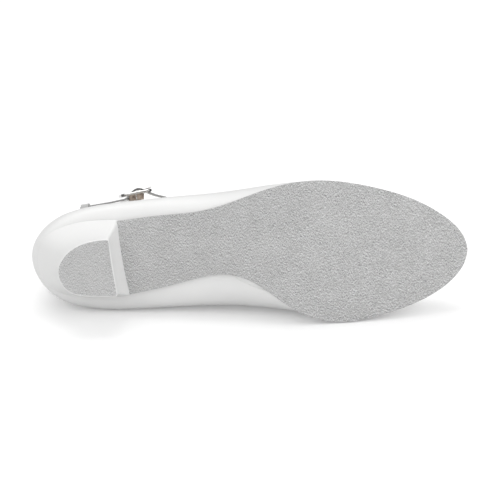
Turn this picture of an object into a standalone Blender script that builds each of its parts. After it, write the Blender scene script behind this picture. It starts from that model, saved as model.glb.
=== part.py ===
"""Character shoe for the right foot, lying on its inner side.

A lasted leather upper on a suede sole and a covered block heel, closed by a buckled ankle strap.
The shoe is drawn standing, in millimetres: X runs to the toe, Y to the inner side and Z up, with
X = 0 at the rearmost point of the heel. The frame empty then lays it down on its inner side.
"""
import math
from collections import namedtuple

import bmesh
import bpy
import numpy as np
from mathutils import Matrix, Vector
from mathutils.geometry import intersect_ray_tri

MM = 0.001                   # metres in a millimetre
GAP = 0.3                    # air between pieces that touch
MERGE = 0.000001             # metres within which vertices are one

# Sole, seen from the side
TOE_TIP = 256.9
TOE_SPRING = 8.5
FLAT_BACK = 160.0            # the ball of the sole lies flat from here
FLAT_FRONT = 182.0           # to here
BREAST = 55.3                # front of the heel, on the centre line
BREAST_HEIGHT = 28.0         # lower face of the sole at the breast
SEAT_BACK = 6.6
SEAT_BACK_HEIGHT = 34.5      # the same face carried on to the back of the heel seat
SEAT_SLOPE = 0.27
SOLE_THICKNESS = 2.6
WAIST_CROWN = 1.8            # rise of the sole's edges over its middle at the waist
TOE_CROWN = 0.9
CROWN_REACH = 1.5            # the crown goes on past the edge to this share of the half width

# Heel
BREAST_OUTER = 53.5          # where the breast line meets the outer and the inner edge
BREAST_INNER = 59.3
BREAST_HOLLOW = 1.0
BREAST_CORNER = 2.6
HEEL_FLARE = 1.45            # over 1, the heel widens faster near the seat
SEAT_SPILL = 0.8             # how far the seat stands out past the sole's edge
TOP_PIECE = 4.0
TOP_PIECE_ROUND = 0.4
TREAD_CORNER = 1.4
TREAD_HOLLOW = 0.3

# Upper and insole
WALL = 2.2
MARGIN = 6.5                 # lasting margin turned in under the insole, from the sole's edge
VAMP_ARCH = 1.2              # rise of the vamp over the straight line from shoulder to throat
INSOLE_THICKNESS = 1.8
INSOLE_INSET = 5.4           # from the sole's edge
INSOLE_SPILL = 0.35          # share of the upper's spill that the insole follows

# Strap and buckle
STRAP_WIDTH = 10.0
STRAP_THICKNESS = 1.1
STRAP_END = 0.3              # share of the width left at the rounded end of the tail
TAB_WIDTH = 9.0
TAB_THICKNESS = 0.9
STRAP_SPACING = 2.0          # of the stations along the strap and the tab
TAB_SPACING = 0.9
SEWN_CLEARANCE = 1.6         # between the quarter's inner face and the sewn ends
SLOT_WIDTH = 2.6             # slots for the prong in the strap and in the fold of the tab
STRAP_SLOT = (-1.2, 6.2)     # along the strap from the buckle's middle bar
TAB_SLOT_BACK = -3.6
STRAP_APEX = Vector((58.0, 0.0, 330.0))       # the strap's width points at this place above the ankle
BUCKLE_CENTRE = Vector((66.0, -31.2, 103.0))  # middle of the frame over its bar
BUCKLE_RUN = Vector((20.2, -2.7, 3.6))        # direction of the strap at the buckle, to the front
FRAME_FRONT = 8.2            # bars of the frame, along the strap from its middle bar
FRAME_BACK = -11.8
FRAME_SIDE = 6.65
FRAME_CORNER = 2.4
FRAME_WIRE = 0.95            # radius
BAR_DROP = -1.2              # the middle bar lies this far inside the plane of the frame
BAR_WIRE = 0.9
PRONG_WIRE = 0.65
PRONG_RING = 285             # degrees of its ring round the middle bar
PRONG_TIP = (9.5, 2.0)       # along the strap, and outward
HOLE_FIRST = 13.0            # free holes, along the tail from the slot in use
HOLE_SPACING = 6.5
HOLE_COUNT = 4
HOLE_RADIUS = 1.1
KEEPER_WIDTH = 5.6
KEEPER_THICKNESS = 0.9
KEEPER_ROOM = 1.65           # air inside the loop
KEEPER_SQUARE = 0.28         # power of the loop's outline: 1 is an ellipse, less is squarer

# Meshes
COLUMNS = 64                 # round the upper
ROWS = 19                    # up the upper
PLATE_STATIONS = 34
PLATE_STRIPS = 8
SEAT_POINTS = 25             # round the back of the heel, across its breast, round each corner
BREAST_POINTS = 9
CORNER_POINTS = 5
HEEL_ROWS = 8
HEEL_CAP_SHARES = (0.8, 0.6, 0.4, 0.2)
FOLD_POINTS = 5              # round the fold of the tab, the loop of the keeper, the ring of the prong
KEEPER_POINTS = 24
PRONG_RING_POINTS = 14
BUCKLE_CORNER_POINTS = 5
WIRE_RESOLUTION = 2
HOLE_SIDES = 12

METAL_WEIGHT = 8.7           # density of the buckle against leather
WOOD_WEIGHT = 0.67           # density of the heel's block
INNER_SIDE = 0.7             # least part of a resting face's normal that points to the inner side

# The sole's edge and, over the heel, the seat's edge. Spill is how far the lasted upper stands out past it.
Edge = namedtuple("Edge", "x outer inner spill_outer spill_inner")
SOLE_EDGE = (
    Edge(SEAT_BACK, 0.0, 0.0, 1.5, 1.5),
    Edge(10.0, -12.4, 12.4, 1.6, 1.6),
    Edge(18.6, -18.0, 18.0, 1.8, 2.0),
    Edge(29.0, -21.1, 20.6, 2.0, 2.4),
    Edge(42.0, -22.3, 21.2, 2.2, 3.0),
    Edge(56.0, -22.9, 20.5, 2.3, 3.8),
    Edge(70.0, -25.0, 18.1, 2.2, 5.0),
    Edge(85.0, -26.4, 15.4, 2.2, 6.4),
    Edge(100.0, -28.1, 11.9, 1.9, 8.0),
    Edge(115.0, -32.1, 10.3, 1.2, 8.4),
    Edge(130.0, -37.9, 14.5, 0.2, 6.2),
    Edge(143.0, -42.1, 23.2, -0.6, 2.4),
    Edge(156.0, -44.7, 31.6, -0.9, -0.4),
    Edge(170.0, -45.2, 37.1, -0.9, -0.9),
    Edge(185.0, -43.5, 38.3, -0.9, -0.9),
    Edge(204.0, -39.1, 35.3, -0.9, -0.9),
    Edge(223.0, -32.5, 29.8, -0.9, -0.9),
    Edge(240.0, -23.0, 22.1, -0.9, -0.9),
    Edge(251.0, -13.6, 13.3, -0.9, -0.9),
    Edge(TOE_TIP, 0.0, 0.0, -0.9, -0.9),
)

# The heel's tread, from the outer end of its front edge round the back to the inner end
Tread = namedtuple("Tread", "x side")
TREAD_EDGE = (
    Tread(46.9, -15.7),
    Tread(40.5, -15.4),
    Tread(35.0, -14.5),
    Tread(29.5, -12.5),
    Tread(23.9, -8.9),
    Tread(19.9, -4.1),
    Tread(18.0, 0.8),
    Tread(18.4, 4.9),
    Tread(20.3, 9.3),
    Tread(24.5, 13.4),
    Tread(28.3, 14.9),
    Tread(33.7, 15.8),
    Tread(44.6, 16.5),
    Tread(50.8, 16.7),
)

# Lines round the upper that shape its wall, from the back of the heel to the front
Level = namedtuple("Level", "x outer inner height")
BULGE = (
    Level(-0.9, 0.0, 0.0, 48.0),
    Level(4.0, -14.0, 15.8, 48.0),
    Level(15.0, -25.0, 28.2, 46.0),
    Level(30.0, -31.4, 34.0, 43.5),
    Level(45.0, -34.2, 35.9, 41.0),
    Level(62.0, -35.6, 35.7, 38.0),
    Level(85.0, -37.6, 34.0, 33.0),
    Level(105.0, -38.4, 33.0, 28.5),
    Level(125.0, -40.3, 32.8, 24.0),
    Level(145.0, -43.2, 33.8, 20.0),
    Level(160.0, -44.2, 34.8, 18.0),
    Level(176.0, -43.6, 36.2, 17.0),
    Level(195.0, -40.4, 34.8, 17.5),
    Level(215.0, -34.8, 30.9, 19.0),
    Level(235.0, -25.4, 24.4, 21.0),
    Level(250.0, -13.8, 13.6, 23.0),
    Level(256.4, 0.0, 0.0, 24.0),
)
SHOULDER = (
    Level(0.6, 0.0, 0.0, 76.0),
    Level(5.0, -11.2, 11.4, 75.5),
    Level(14.0, -18.8, 19.4, 73.0),
    Level(35.0, -25.6, 26.2, 67.0),
    Level(60.0, -28.8, 28.0, 61.0),
    Level(85.0, -32.0, 28.2, 54.0),
    Level(110.0, -34.6, 28.8, 47.0),
    Level(135.0, -37.2, 29.8, 40.0),
    Level(160.0, -38.0, 31.6, 35.0),
    Level(185.0, -34.4, 30.6, 32.5),
    Level(210.0, -27.0, 25.5, 32.0),
    Level(230.0, -16.4, 16.0, 32.5),
    Level(240.0, 0.0, 0.0, 33.0),
)
TOPLINE = (
    Level(4.5, 0.0, 0.0, 97.5),
    Level(9.0, -10.6, 10.8, 97.0),
    Level(20.0, -17.0, 17.2, 95.0),
    Level(35.0, -21.6, 22.0, 91.5),
    Level(55.0, -24.4, 25.0, 85.5),
    Level(80.0, -27.2, 26.0, 77.0),
    Level(105.0, -29.4, 26.4, 68.0),
    Level(130.0, -30.2, 26.0, 58.5),
    Level(150.0, -27.6, 24.6, 51.0),
    Level(165.0, -19.4, 18.0, 45.5),
    Level(174.0, 0.0, 0.0, 42.5),
)

# Places on the quarter's inner face where strap and tab are sewn: turn round the upper, share of its height
Sewn = namedtuple("Sewn", "turn height")
STRAP_SEWN = (Sewn(-0.50, 0.91), Sewn(-0.66, 0.955))
TAB_SEWN = (Sewn(0.44, 0.92), Sewn(0.56, 0.96))

# Free runs of the strap's centre line, and its weave through the buckle
Stop = namedtuple("Stop", "x y z")
STRAP_OVER_ANKLE = (
    Stop(34.0, 17.4, 95.6),
    Stop(45.0, 19.2, 99.2),
    Stop(58.0, 19.8, 102.2),
    Stop(71.0, 19.8, 105.0),
    Stop(83.0, 18.0, 108.0),
    Stop(91.5, 12.4, 110.5),
    Stop(96.0, 0.0, 112.5),
    Stop(92.5, -17.0, 110.5),
)
STRAP_TAIL = (
    Stop(43.0, -25.2, 100.0),
    Stop(33.2, -23.8, 100.4),
    Stop(29.5, -23.3, 100.6),
)
TAB_RUN = (
    Stop(23.5, -13.8, 97.6),
    Stop(27.0, -17.6, 99.8),
    Stop(30.5, -21.0, 100.4),
    Stop(36.0, -22.6, 100.4),
    Stop(46.0, -24.2, 100.1),
)
Weave = namedtuple("Weave", "along outward")
STRAP_WEAVE = (
    Weave(16.0, -5.0),
    Weave(12.0, -3.7),
    Weave(8.2, -2.2),
    Weave(4.0, 0.6),
    Weave(0.0, 2.2),
    Weave(-4.0, 0.6),
    Weave(-8.5, -2.4),
    Weave(-12.5, -2.7),
    Weave(-17.0, -2.8),
)
TAB_APPROACH = (Weave(-12.5, -4.1), Weave(-6.0, -3.4))
TAB_RETURN = (Weave(-2.4, 0.0), Weave(-4.9, -1.75))


def spline(knots, values, period=None):
    """Cubic spline through rows of values: closed with the period given, or with free ends."""
    knots = np.asarray(knots, float)
    values = np.asarray(values, float).reshape(len(knots), -1)
    if period:
        knots = np.append(knots, knots[0] + period)
        values = np.vstack((values, values[:1]))
    last = len(knots) - 1
    step = np.diff(knots)
    slope = np.diff(values, axis=0) / step[:, None]
    system = np.eye(last + 1)
    turning = np.zeros_like(values)
    for i in range(1, last):
        system[i, i - 1:i + 2] = step[i - 1], 2 * (step[i - 1] + step[i]), step[i]
        turning[i] = 6 * (slope[i] - slope[i - 1])
    if period:
        system[0, last] = -1
        system[last, [last - 1, last, 1]] = step[-1], 2 * (step[-1] + step[0]), step[0]
        turning[last] = 6 * (slope[0] - slope[-1])
    bend = np.linalg.solve(system, turning)

    def value(at):
        at = np.asarray(at, float)
        if period:
            at = knots[0] + np.mod(at - knots[0], period)
        i = np.clip(np.searchsorted(knots, at, side="right") - 1, 0, last - 1)
        width = step[i][..., None]
        after = (at - knots[i])[..., None]
        before = width - after
        curved = (bend[i] * before**3 + bend[i + 1] * after**3) / (6 * width)
        from_left = (values[i] / width - bend[i] * width / 6) * before
        from_right = (values[i + 1] / width - bend[i + 1] * width / 6) * after
        return curved + from_left + from_right

    return value


def turn_at(rows, x):
    """Turn round a ring, 0 at its back and pi at its front, where its outer side passes x."""
    back, front = rows[0].x, rows[-1].x
    return np.arccos(np.clip(1 - 2 * (x - back) / (front - back), -1, 1))


def around(rows, outer, inner):
    """Closed function of the turn: the outer column on the way forward, the inner one on the way back."""
    turns = [float(turn_at(rows, row.x)) for row in rows]
    turns += [2 * math.pi - turn for turn in reversed(turns[1:-1])]
    values = [getattr(row, outer) for row in rows]
    values += [getattr(row, inner) for row in reversed(rows[1:-1])]
    curve = spline(turns, values, 2 * math.pi)
    return lambda turn: curve(turn)[..., 0]


def ring_x(rows, turn):
    back, front = rows[0].x, rows[-1].x
    return back + (front - back) * (1 - np.cos(turn)) / 2


sole_side = around(SOLE_EDGE, "outer", "inner")
spill_at = around(SOLE_EDGE, "spill_outer", "spill_inner")


def sole_ring(turn, offset):
    """Plan points of the sole's edge, moved outward by the offset."""
    small = 0.002
    ahead = np.stack((ring_x(SOLE_EDGE, turn + small), sole_side(turn + small)), axis=-1)
    behind = np.stack((ring_x(SOLE_EDGE, turn - small), sole_side(turn - small)), axis=-1)
    along = (ahead - behind) / np.linalg.norm(ahead - behind, axis=-1, keepdims=True)
    outward = np.stack((along[..., 1], -along[..., 0]), axis=-1)
    return (ahead + behind) / 2 + outward * np.asarray(offset)[..., None]


def sole_face(x, y):
    """Height of the sole's lower face, carried on under the whole upper."""
    toe_share = np.clip((x - FLAT_FRONT) / (TOE_TIP - FLAT_FRONT), 0, None)
    waist_length = FLAT_BACK - BREAST
    waist_share = np.clip((FLAT_BACK - x) / waist_length, 0, 1)
    arch = BREAST_HEIGHT * waist_share**2 * (3 - 2 * waist_share)
    arch = arch + SEAT_SLOPE * waist_length * waist_share**2 * (waist_share - 1)
    seat_length = BREAST - SEAT_BACK
    dish = (SEAT_SLOPE * seat_length - (SEAT_BACK_HEIGHT - BREAST_HEIGHT)) / seat_length**2
    behind = np.clip(BREAST - x, 0, None)
    middle_height = TOE_SPRING * toe_share**2 + arch + SEAT_SLOPE * behind - dish * behind**2
    turn = turn_at(SOLE_EDGE, x)
    outer, inner = sole_side(turn), sole_side(-turn)
    half = np.maximum((inner - outer) / 2, 1.0)
    across = np.clip((y - (inner + outer) / 2) / half, -CROWN_REACH, CROWN_REACH)
    waist_wave = np.where(x < FLAT_BACK, np.sin(math.pi * np.clip(x, 0, FLAT_BACK) / FLAT_BACK), 0)
    crown = WAIST_CROWN * waist_wave**2 + TOE_CROWN * toe_share**2
    return middle_height + crown * across**2


def last_face(x, y):
    """Height of the lasted upper's underside, which the sole and the heel meet."""
    return sole_face(x, y) + SOLE_THICKNESS + GAP


def level_ring(rows, turn):
    side = around(rows, "outer", "inner")(turn)
    return np.stack((ring_x(rows, turn), side, around(rows, "height", "height")(turn)), axis=-1)


def upper_rings(turn):
    """Control rings of the upper, from the lasting margin to the topline."""
    margin = sole_ring(turn, np.full_like(turn, -MARGIN))
    feather = sole_ring(turn, spill_at(turn))
    under = [margin, (margin + feather) / 2, feather]
    rings = [np.column_stack((plan, last_face(plan[:, 0], plan[:, 1]))) for plan in under]
    bulge, shoulder, topline = (level_ring(rows, turn) for rows in (BULGE, SHOULDER, TOPLINE))
    front_share = (1 - np.cos(turn)) / 2
    vamp = (shoulder + topline) / 2
    vamp[:, 2] += VAMP_ARCH * front_share**2
    return np.array(rings + [bulge, shoulder, vamp, topline])


def spline_shares(controls, along):
    """Share of each control at each place along a clamped cubic B-spline."""
    knots = np.concatenate((np.zeros(3), np.linspace(0, 1, controls - 2), np.ones(3)))
    shares = [((low <= along) & (along < high)).astype(float) for low, high in zip(knots, knots[1:])]
    shares[controls - 1][along >= 1] = 1.0
    for degree in (1, 2, 3):
        raised = []
        for i in range(len(shares) - 1):
            rise = max(knots[i + degree] - knots[i], MERGE)
            fall = max(knots[i + degree + 1] - knots[i + 1], MERGE)
            left = shares[i] * (along - knots[i]) / rise
            right = shares[i + 1] * (knots[i + degree + 1] - along) / fall
            raised.append(left + right)
        shares = raised
    return np.array(shares).T


def upper_surface(turn, along):
    """Points on the outside of the upper: a row for each place along its height, a column for each turn."""
    rings = upper_rings(turn)
    return np.einsum("rc,cnk->rnk", spline_shares(len(rings), along), rings)


def inside_quarter(place, depth):
    """Point inside the quarter, at a depth from its outer face."""
    small = 0.01
    turns = np.array([place.turn, place.turn + small])
    patch = upper_surface(turns, np.array([place.height, place.height + small]))
    outward = np.cross(patch[0, 1] - patch[0, 0], patch[1, 0] - patch[0, 0])
    return patch[0, 0] - depth * outward / np.linalg.norm(outward)


def finish(name, colour, roughness, metallic=0.0):
    material = bpy.data.materials.new(name)
    material.use_nodes = True
    shader = material.node_tree.nodes["Principled BSDF"]
    shader.inputs["Base Color"].default_value = (*colour, 1.0)
    shader.inputs["Roughness"].default_value = roughness
    shader.inputs["Metallic"].default_value = metallic
    return material


def add_object(name, data, collection, parent=None, material=None):
    part = bpy.data.objects.new(name, data)
    collection.objects.link(part)
    part.parent = parent
    if material:
        data.materials.append(material)
    return part


def mesh_data(name, bm, smooth_angle=40):
    mesh = bpy.data.meshes.new(name)
    bm.to_mesh(mesh)
    bm.free()
    mesh.shade_smooth()
    mesh.set_sharp_from_angle(angle=math.radians(smooth_angle))
    return mesh


def grid_sheet(points):
    """Sheet over a table of points in millimetres, joined where its edges coincide."""
    rows, columns = points.shape[:2]
    bm = bmesh.new()
    bmesh.ops.create_grid(bm, x_segments=columns - 1, y_segments=rows - 1, size=0.5)
    for vertex, point in zip(bm.verts, points.reshape(-1, 3)):
        vertex.co = Vector(point) * MM
    bmesh.ops.remove_doubles(bm, verts=bm.verts, dist=MERGE)
    return bm


def closed(table):
    """Table of points with its first column repeated at the end."""
    return np.concatenate((table, table[:, :1]), axis=1)


def upper_mesh():
    turns = np.linspace(0, 2 * math.pi, COLUMNS, endpoint=False)
    return mesh_data("upper", grid_sheet(closed(upper_surface(turns, np.linspace(0, 1, ROWS)))))


def plate_mesh(name, outer, inner, lower, thickness, hollow=0.0):
    """Plate between two plan edges, on a curved lower face, with its back end hollowed."""
    share = np.linspace(0, 1, PLATE_STRIPS + 1)
    plan = outer + (inner - outer) * share[:, None, None]
    plan[:, 0, 0] -= hollow * np.sin(math.pi * share)
    bm = grid_sheet(np.dstack((plan, lower(plan[..., 0], plan[..., 1])[..., None])))
    raised = bmesh.ops.extrude_face_region(bm, geom=bm.faces[:])["geom"]
    raised_vertices = [item for item in raised if isinstance(item, bmesh.types.BMVert)]
    bmesh.ops.translate(bm, verts=raised_vertices, vec=(0, 0, thickness * MM))
    bmesh.ops.recalc_face_normals(bm, faces=bm.faces)
    return mesh_data(name, bm)


def outsole_mesh():
    share = np.sin(np.linspace(0, math.pi / 2, PLATE_STATIONS))
    edges = []
    for start, side in ((BREAST_OUTER + GAP, 1), (BREAST_INNER + GAP, -1)):
        x = start + (TOE_TIP - start) * share
        edges.append(np.stack((x, sole_side(side * turn_at(SOLE_EDGE, x))), axis=-1))
    return plate_mesh("outsole", *edges, sole_face, SOLE_THICKNESS, BREAST_HOLLOW)


def insole_mesh():
    turns = np.linspace(0, math.pi, PLATE_STATIONS)
    edges = [sole_ring(side, spill_at(side) * INSOLE_SPILL - INSOLE_INSET) for side in (turns, -turns)]
    edges[1][[0, -1]] = edges[0][[0, -1]]
    return plate_mesh("insole", *edges, lambda x, y: last_face(x, y) + WALL + GAP, INSOLE_THICKNESS)


def rounded_corner(corner, before, after, size):
    """Plan points of a corner rounded between the points before and after it."""
    start = corner + (before - corner) * size / np.linalg.norm(before - corner)
    end = corner + (after - corner) * size / np.linalg.norm(after - corner)
    t = np.linspace(0, 1, CORNER_POINTS)[:, None]
    return (1 - t) ** 2 * start + 2 * t * (1 - t) * corner + t**2 * end


def heel_outline(back, corner, hollow):
    """Plan outline of the heel at one height: round the back, then across the breast."""
    breast_share = np.linspace(0, 1, BREAST_POINTS)[:, None]
    breast = back[-1] + (back[0] - back[-1]) * breast_share
    breast[:, 0] -= hollow * np.sin(math.pi * breast_share[:, 0])
    inner_corner = rounded_corner(back[-1], back[-2], breast[1], corner)
    outer_corner = rounded_corner(back[0], breast[-2], back[1], corner)
    return np.vstack((back[1:-1], inner_corner, breast[1:-1], outer_corner))


def run_share(points):
    """Share of a line's length passed at each of its points."""
    run = np.concatenate(([0.0], np.cumsum(np.linalg.norm(np.diff(points, axis=0), axis=1))))
    return run / run[-1]


def heel_outlines():
    """Plan outlines of the heel's seat and of its tread, point for point."""
    outer_turn, inner_turn = turn_at(SOLE_EDGE, np.array([BREAST_OUTER, BREAST_INNER]))
    seat_turns = np.linspace(outer_turn, -inner_turn, SEAT_POINTS)
    seat_back = sole_ring(seat_turns, np.full(SEAT_POINTS, SEAT_SPILL))
    tread_edge = np.array(TREAD_EDGE)
    tread_back = spline(run_share(tread_edge), tread_edge)(run_share(seat_back))
    seat = heel_outline(seat_back, BREAST_CORNER, BREAST_HOLLOW)
    return seat, heel_outline(tread_back, TREAD_CORNER, TREAD_HOLLOW)


def level_row(plan, height):
    return np.column_stack((plan, np.broadcast_to(height, len(plan))))


def spindle_mesh(name, rows):
    """Closed solid through rings of points, drawn in to a point at both ends."""
    ends = [np.repeat(row.mean(axis=0, keepdims=True), len(row), axis=0) for row in (rows[0], rows[-1])]
    bm = grid_sheet(closed(np.array([ends[0], *rows, ends[1]])))
    bmesh.ops.recalc_face_normals(bm, faces=bm.faces)
    return mesh_data(name, bm)


def heel_mesh():
    seat, tread = heel_outlines()
    seat_height = sole_face(seat[:, 0], seat[:, 1]) + SOLE_THICKNESS
    rows = []
    for share in np.linspace(0, 1, HEEL_ROWS):
        plan = tread + (seat - tread) * share**HEEL_FLARE
        rows.append(level_row(plan, TOP_PIECE + GAP + (seat_height - TOP_PIECE - GAP) * share))
    centre = seat.mean(axis=0)
    for share in HEEL_CAP_SHARES:
        plan = centre + (seat - centre) * share
        rows.append(level_row(plan, sole_face(plan[:, 0], plan[:, 1]) + SOLE_THICKNESS))
    return spindle_mesh("heel", rows)


def top_piece_mesh():
    tread = heel_outlines()[1]
    centre = tread.mean(axis=0)
    reach = np.linalg.norm(tread - centre, axis=1, keepdims=True)
    drawn_in = tread - (tread - centre) / reach * TOP_PIECE_ROUND
    rows = [level_row(drawn_in, 0.0), level_row(tread, TOP_PIECE_ROUND), level_row(tread, TOP_PIECE)]
    return spindle_mesh("heel_top_piece", rows)


def buckle_axes():
    """Directions at the buckle: along the strap to the front, outward, and up the strap's width."""
    along = BUCKLE_RUN.normalized()
    outward = (STRAP_APEX - BUCKLE_CENTRE).cross(along).normalized() * -1
    return along, outward, outward.cross(along).normalized() * -1


def at_buckle(along, outward, up=0.0):
    axes = buckle_axes()
    return BUCKLE_CENTRE + axes[0] * along + axes[1] * outward + axes[2] * up


def band_path(stops, spacing):
    """Even places along a smooth curve through the stops."""
    stops = np.array([tuple(stop) for stop in stops])
    length = np.linalg.norm(np.diff(stops, axis=0), axis=1).sum()
    return spline(run_share(stops), stops)(np.linspace(0, 1, int(length / spacing) + 1))


def along_strap(points):
    """How far points lie along the strap from the buckle's middle bar."""
    return (np.asarray(points) - np.array(BUCKLE_CENTRE)) @ np.array(buckle_axes()[0])


def band_sheet(path, widths, slot):
    """Sheet along a path, its width turned to the apex over the ankle, open in the middle at the slot."""
    along = np.gradient(path, axis=0)
    along /= np.linalg.norm(along, axis=1, keepdims=True)
    rise = np.array(STRAP_APEX) - path
    across = rise - along * np.sum(rise * along, axis=1, keepdims=True)
    across /= np.linalg.norm(across, axis=1, keepdims=True)
    edge = np.asarray(widths) / 2
    lip = np.minimum(SLOT_WIDTH / 2, edge / 2)
    columns = [path + across * side[:, None] for side in (edge, lip, -lip, -edge)]
    bm = grid_sheet(np.stack(columns, axis=1))
    bm.faces.ensure_lookup_table()
    cells = len(columns) - 1
    open_faces = [bm.faces[i * cells + cells // 2] for i in np.flatnonzero(slot[1:] & slot[:-1])]
    bmesh.ops.delete(bm, geom=open_faces, context="FACES")
    return bm


def strap_path():
    depth = WALL + SEWN_CLEARANCE + STRAP_THICKNESS / 2
    sewn = [inside_quarter(place, depth) for place in STRAP_SEWN]
    weave = [at_buckle(place.along, place.outward) for place in STRAP_WEAVE]
    return band_path([*sewn, *STRAP_OVER_ANKLE, *weave, *STRAP_TAIL], STRAP_SPACING)


def strap_mesh(path):
    """The strap, its tail end rounded, with the slot that the prong goes through."""
    to_end = np.linalg.norm(path - path[-1], axis=1)
    round_share = np.clip(to_end / (STRAP_WIDTH / 2), 0.0, 1.0)
    widths = STRAP_WIDTH * np.maximum(np.sqrt(1 - (1 - round_share) ** 2), STRAP_END)
    place = along_strap(path)
    beside = np.linalg.norm(path - np.array(BUCKLE_CENTRE), axis=1) < STRAP_WIDTH
    slot = beside & (place > STRAP_SLOT[0]) & (place < STRAP_SLOT[1])
    return mesh_data("strap", band_sheet(path, widths, slot))


def tab_mesh():
    """The tab, folded round the middle bar of the buckle and slotted there for the prong's ring."""
    depth = WALL + SEWN_CLEARANCE + TAB_THICKNESS / 2
    stops = [inside_quarter(place, depth) for place in TAB_SEWN] + list(TAB_RUN)
    stops += [at_buckle(place.along, place.outward) for place in TAB_APPROACH]
    fold = BAR_WIRE + 2 * GAP + TAB_THICKNESS / 2
    for angle in np.linspace(-math.pi / 2, math.pi / 2, FOLD_POINTS):
        stops.append(at_buckle(fold * math.cos(angle), BAR_DROP + fold * math.sin(angle)))
    stops += [at_buckle(place.along, place.outward) for place in TAB_RETURN]
    path = band_path(stops, TAB_SPACING)
    slot = along_strap(path) > TAB_SLOT_BACK
    return mesh_data("buckle_tab", band_sheet(path, np.full(len(path), TAB_WIDTH), slot))


def keeper_mesh(path):
    """Leather loop round tail and tab, at the last but one stop of the tail."""
    place = Vector(path[np.argmin(np.linalg.norm(path - np.array(STRAP_TAIL[1]), axis=1))])
    along = (Vector(STRAP_TAIL[0]) - Vector(STRAP_TAIL[2])).normalized()
    across = (STRAP_APEX - place).normalized()
    inward = along.cross(across).normalized()
    inward = inward if inward.y > 0 else -inward
    stack = STRAP_THICKNESS + TAB_THICKNESS + KEEPER_ROOM
    centre = place + inward * (stack / 2 - STRAP_THICKNESS / 2 - GAP)
    loop = []
    for angle in np.linspace(0, 2 * math.pi, KEEPER_POINTS, endpoint=False):
        c, s = math.cos(angle), math.sin(angle)
        loop.append((math.copysign(abs(c) ** KEEPER_SQUARE, c), math.copysign(abs(s) ** KEEPER_SQUARE, s)))
    rows = []
    for grow, shift in ((0, -1), (KEEPER_THICKNESS, -1), (KEEPER_THICKNESS, 1), (0, 1), (0, -1)):
        half_in = stack / 2 + GAP + grow
        half_across = STRAP_WIDTH / 2 + 2 * GAP + grow
        base = centre + along * shift * KEEPER_WIDTH / 2
        rows.append([tuple(base + inward * half_in * c + across * half_across * s) for c, s in loop])
    bm = grid_sheet(closed(np.array(rows)))
    bmesh.ops.recalc_face_normals(bm, faces=bm.faces)
    return mesh_data("strap_keeper", bm)


def wire_curve(name, points, radius, cyclic=False):
    curve = bpy.data.curves.new(name, "CURVE")
    curve.dimensions = "3D"
    curve.bevel_depth = radius * MM
    curve.bevel_resolution = WIRE_RESOLUTION
    curve.use_fill_caps = True
    line = curve.splines.new("POLY")
    line.points.add(len(points) - 1)
    for place, point in zip(line.points, points):
        place.co = (*(Vector(point) * MM), 1.0)
    line.use_cyclic_u = cyclic
    return curve


def wire_mesh(name, points, radius, collection, cyclic=False):
    """Wire made a mesh, its end caps welded."""
    holder = add_object(name + "_curve", wire_curve(name, points, radius, cyclic), collection)
    depsgraph = bpy.context.evaluated_depsgraph_get()
    mesh = bpy.data.meshes.new_from_object(holder.evaluated_get(depsgraph))
    bpy.data.objects.remove(holder)
    bm = bmesh.new()
    bm.from_mesh(mesh)
    bmesh.ops.remove_doubles(bm, verts=bm.verts, dist=MERGE)
    bm.to_mesh(mesh)
    bm.free()
    mesh.name = name
    return mesh


def frame_loop():
    """Rounded rectangle of the buckle's frame."""
    corners = (
        (FRAME_FRONT, FRAME_SIDE, 0),
        (FRAME_BACK, FRAME_SIDE, 90),
        (FRAME_BACK, -FRAME_SIDE, 180),
        (FRAME_FRONT, -FRAME_SIDE, 270),
    )
    loop = []
    for along, up, start in corners:
        centre_along = along - math.copysign(FRAME_CORNER, along)
        centre_up = up - math.copysign(FRAME_CORNER, up)
        for angle in np.radians(np.linspace(start, start + 90, BUCKLE_CORNER_POINTS)):
            place_along = centre_along + FRAME_CORNER * math.cos(angle)
            loop.append(at_buckle(place_along, 0.0, centre_up + FRAME_CORNER * math.sin(angle)))
    return loop


def prong_points():
    """Ring round the middle bar, then a straight run to the frame's front bar."""
    ring = BAR_WIRE + GAP + PRONG_WIRE
    run_along, run_out = PRONG_TIP[0], PRONG_TIP[1] - BAR_DROP
    leave = math.atan2(run_out, run_along) + math.acos(ring / math.hypot(run_along, run_out))
    points = []
    for angle in np.linspace(leave + math.radians(PRONG_RING), leave, PRONG_RING_POINTS):
        points.append(at_buckle(ring * math.cos(angle), BAR_DROP + ring * math.sin(angle)))
    tip = at_buckle(*PRONG_TIP)
    return points + [points[-1].lerp(tip, 0.5), tip]


def thicken(part, thickness, inward=False):
    """Give a sheet its thickness, on its inner side or on both sides."""
    wall = part.modifiers.new("wall", "SOLIDIFY")
    wall.thickness = thickness * MM
    wall.offset = -1 if inward else 0
    wall.use_even_offset = True


def cut(part, cutter, operation="DIFFERENCE"):
    boolean = part.modifiers.new(cutter.name, "BOOLEAN")
    boolean.operation = operation
    boolean.solver = "EXACT"
    boolean.object = cutter


def hide_cutter(cutter):
    cutter.hide_render = True
    cutter.display_type = "WIRE"


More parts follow.
